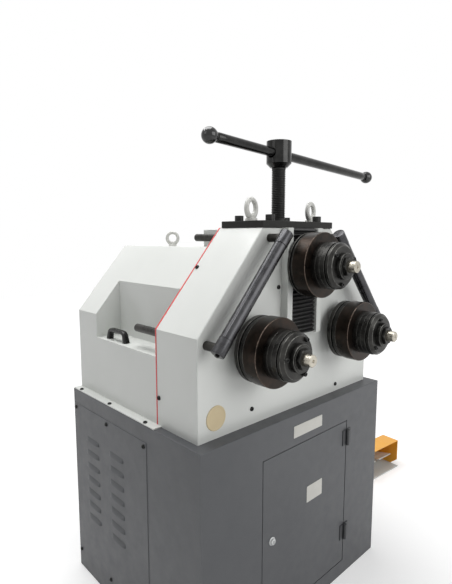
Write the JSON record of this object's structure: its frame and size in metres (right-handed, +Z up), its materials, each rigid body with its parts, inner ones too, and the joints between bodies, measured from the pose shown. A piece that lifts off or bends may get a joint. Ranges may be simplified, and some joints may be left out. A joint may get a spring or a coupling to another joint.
{
  "type": "pipe bending machine",
  "caption": "Upright roll bending machine on a sheet-steel cabinet, with rolls on the face, a screw-fed upper roll, side guide bars and a foot switch.",
  "frame": {"origin": "on the floor under the middle of the cabinet", "axes": "+X to the operator's right, +Y from the front face into the machine, +Z up"},
  "size_m": [1.7494, 0.964, 1.664],
  "materials": {
    "housing_white": "gloss",
    "cabinet_grey": "satin",
    "red_trim": "gloss",
    "black_oxide": "satin",
    "shaft_steel": "satin",
    "plate_black": "satin",
    "dark_steel": "satin",
    "eye_grey": "satin",
    "knob_black": "gloss",
    "bellows_black": "matte",
    "cap_beige": "matte",
    "pedal_yellow": "satin",
    "pedal_grey": "satin"
  },
  "bodies": {
    "machine": {"cabinet_back": "cabinet_grey", "cabinet_deck": "cabinet_grey", "cabinet_floor": "cabinet_grey", "cabinet_front_sill": "cabinet_grey", "cabinet_front_stiles": "cabinet_grey", "cabinet_front_top": "cabinet_grey", "cabinet_left_side": "cabinet_grey", "cabinet_right_side": "cabinet_grey", "louvre_panel_left": "cabinet_grey", "louvre_panel_right": "cabinet_grey", "door_hinge_fixed": "cabinet_grey", "front_housing": "housing_white", "slide_rails": "housing_white", "seam_trim": "red_trim", "top_plate": "plate_black", "screw_nut": "black_oxide", "plate_bolts": "black_oxide", "inspection_cap": "cap_beige", "rear_cover": "housing_white", "rear_top_box": "housing_white", "foot_strips": "housing_white", "bridge_handles": "black_oxide", "front_eyes": "eye_grey", "rear_eyes": "eye_grey", "lower_bellows": "bellows_black", "upper_bellows": "bellows_black", "pedal_base": "pedal_grey", "pedal_hood": "pedal_yellow"},
    "door": {"cabinet_door": "cabinet_grey", "door_lock": "black_oxide", "door_hinge_moving": "cabinet_grey"},
    "upper_slide": {"slide_block": "shaft_steel"},
    "feed_screw": {"feed_screw": "black_oxide", "screw_hub": "black_oxide"},
    "tommy_bar": {"tommy_bar": "black_oxide", "bar_knobs": "knob_black"},
    "left_roll": {"left_roll_shaft": "shaft_steel", "left_main_roll": "black_oxide", "left_ring_set": "black_oxide", "left_lock_collar": "black_oxide", "left_shaft_nut": "black_oxide"},
    "right_roll": {"right_roll_shaft": "shaft_steel", "right_main_roll": "black_oxide", "right_ring_set": "black_oxide", "right_lock_collar": "black_oxide", "right_shaft_nut": "black_oxide"},
    "upper_roll": {"upper_roll_shaft": "shaft_steel", "upper_main_roll": "black_oxide", "upper_ring_set": "black_oxide", "upper_lock_collar": "black_oxide", "upper_shaft_nut": "black_oxide"},
    "left_guide": {"left_guide_bar": "dark_steel", "left_guide_pins": "shaft_steel"},
    "right_guide": {"right_guide_bar": "dark_steel", "right_guide_pins": "shaft_steel"},
    "left_treadle": {"pedal_treadle_left": "pedal_grey"},
    "right_treadle": {"pedal_treadle_right": "pedal_grey"}
  },
  "joints": [
    {"name": "screw_turn", "type": "hinge", "parent": "upper_slide", "child": "feed_screw", "pos_m": [0, -0.2435, 1.5], "axis": [0, 0, 1], "range_deg": [0, 5760]},
    {"name": "slide_feed", "type": "slide", "parent": "machine", "child": "upper_slide", "axis": [0, 0, 1], "range_m": [-0.096, 0], "deforming": ["lower_bellows", "upper_bellows"]},
    {"name": "bar_slide", "type": "slide", "parent": "feed_screw", "child": "tommy_bar", "axis": [0.9985, 0.0366, -0.0401], "range_m": [-0.545, 0.255]},
    {"name": "left_roll_turn", "type": "hinge", "parent": "machine", "child": "left_roll", "pos_m": [-0.229, -0.3385, 1.002], "axis": [0, 1, 0], "continuous": true},
    {"name": "right_roll_turn", "type": "hinge", "parent": "machine", "child": "right_roll", "pos_m": [0.229, -0.3385, 1.002], "axis": [0, 1, 0], "continuous": true},
    {"name": "upper_roll_turn", "type": "hinge", "parent": "upper_slide", "child": "upper_roll", "pos_m": [0, -0.3385, 1.25], "axis": [0, 1, 0], "continuous": true},
    {"name": "left_guide_slide", "type": "slide", "parent": "machine", "child": "left_guide", "axis": [0, -1, 0], "range_m": [-0.034, 0.06]},
    {"name": "right_guide_slide", "type": "slide", "parent": "machine", "child": "right_guide", "axis": [0, -1, 0], "range_m": [-0.034, 0.06]},
    {"name": "door_open", "type": "hinge", "parent": "machine", "child": "door", "pos_m": [0.2525, -0.3935, 0.35], "axis": [0, 0, 1], "range_deg": [0, 110]},
    {"name": "left_treadle_press", "type": "hinge", "parent": "machine", "child": "left_treadle", "pos_m": [1.1075, 0.0405, 0.034], "axis": [0.9962, -0.0872, 0], "range_deg": [0, 10], "stiffness_Nm_per_rad": 8, "springref_deg": -8.59},
    {"name": "right_treadle_press", "type": "hinge", "parent": "machine", "child": "right_treadle", "pos_m": [1.1075, 0.0405, 0.034], "axis": [0.9962, -0.0872, 0], "range_deg": [0, 10], "stiffness_Nm_per_rad": 8, "springref_deg": -8.59}
  ],
  "couplings": [
    {"joint": "slide_feed", "follows": "screw_turn", "m_per_rad": -0.00095493},
    {"joint": "right_roll_turn", "follows": "left_roll_turn", "ratio": 1},
    {"joint": "upper_roll_turn", "follows": "left_roll_turn", "ratio": -1}
  ]
}
